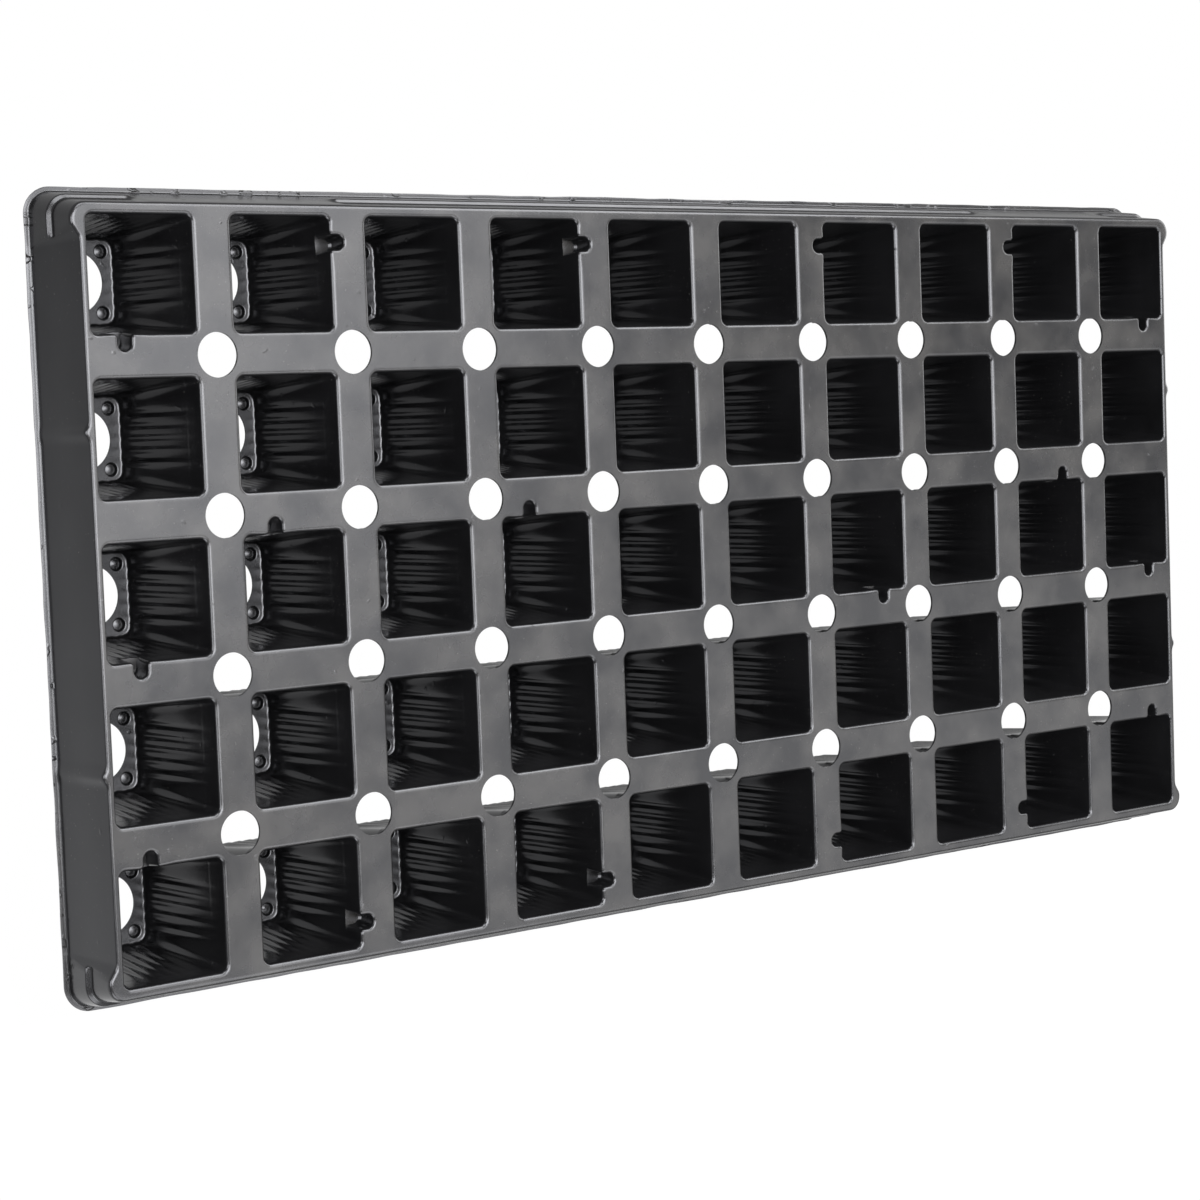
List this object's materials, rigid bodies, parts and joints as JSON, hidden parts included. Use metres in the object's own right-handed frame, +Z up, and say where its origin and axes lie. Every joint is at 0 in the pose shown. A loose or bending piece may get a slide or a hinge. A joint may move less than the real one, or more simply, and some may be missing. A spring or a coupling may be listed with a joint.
{
  "type": "plug tray",
  "caption": "Rigid black thermoformed plug tray: a grid of square tapered cells with drain holes, air holes in the deck between them, and a stepped skirt with a trimmed rim.",
  "frame": {"origin": "under the middle of the tray, level with the soles of the cells' feet, where it stands on a bench", "axes": "+X along the tray's long side, +Y across it, +Z up out of the cells' mouths"},
  "size_m": [0.543, 0.277, 0.0502],
  "materials": {
    "black_polystyrene": "satin"
  },
  "bodies": {
    "root": {"cell_r1_c1": "black_polystyrene", "cell_r1_c2": "black_polystyrene", "cell_r1_c3": "black_polystyrene", "cell_r1_c4": "black_polystyrene", "cell_r1_c5": "black_polystyrene", "cell_r1_c6": "black_polystyrene", "cell_r1_c7": "black_polystyrene", "cell_r1_c8": "black_polystyrene", "cell_r1_c9": "black_polystyrene", "cell_r1_c10": "black_polystyrene", "cell_r2_c1": "black_polystyrene", "cell_r2_c2": "black_polystyrene", "cell_r2_c3": "black_polystyrene", "cell_r2_c4": "black_polystyrene", "cell_r2_c5": "black_polystyrene", "cell_r2_c6": "black_polystyrene", "cell_r2_c7": "black_polystyrene", "cell_r2_c8": "black_polystyrene", "cell_r2_c9": "black_polystyrene", "cell_r2_c10": "black_polystyrene", "cell_r3_c1": "black_polystyrene", "cell_r3_c2": "black_polystyrene", "cell_r3_c3": "black_polystyrene", "cell_r3_c4": "black_polystyrene", "cell_r3_c5": "black_polystyrene", "cell_r3_c6": "black_polystyrene", "cell_r3_c7": "black_polystyrene", "cell_r3_c8": "black_polystyrene", "cell_r3_c9": "black_polystyrene", "cell_r3_c10": "black_polystyrene", "cell_r4_c1": "black_polystyrene", "cell_r4_c2": "black_polystyrene", "cell_r4_c3": "black_polystyrene", "cell_r4_c4": "black_polystyrene", "cell_r4_c5": "black_polystyrene", "cell_r4_c6": "black_polystyrene", "cell_r4_c7": "black_polystyrene", "cell_r4_c8": "black_polystyrene", "cell_r4_c9": "black_polystyrene", "cell_r4_c10": "black_polystyrene", "cell_r5_c1": "black_polystyrene", "cell_r5_c2": "black_polystyrene", "cell_r5_c3": "black_polystyrene", "cell_r5_c4": "black_polystyrene", "cell_r5_c5": "black_polystyrene", "cell_r5_c6": "black_polystyrene", "cell_r5_c7": "black_polystyrene", "cell_r5_c8": "black_polystyrene", "cell_r5_c9": "black_polystyrene", "cell_r5_c10": "black_polystyrene", "corner_front_left": "black_polystyrene", "corner_front_right": "black_polystyrene", "corner_back_left": "black_polystyrene", "corner_back_right": "black_polystyrene", "skirt_front": "black_polystyrene", "skirt_back": "black_polystyrene", "skirt_left": "black_polystyrene", "skirt_right": "black_polystyrene"}
  },
  "joints": []
}
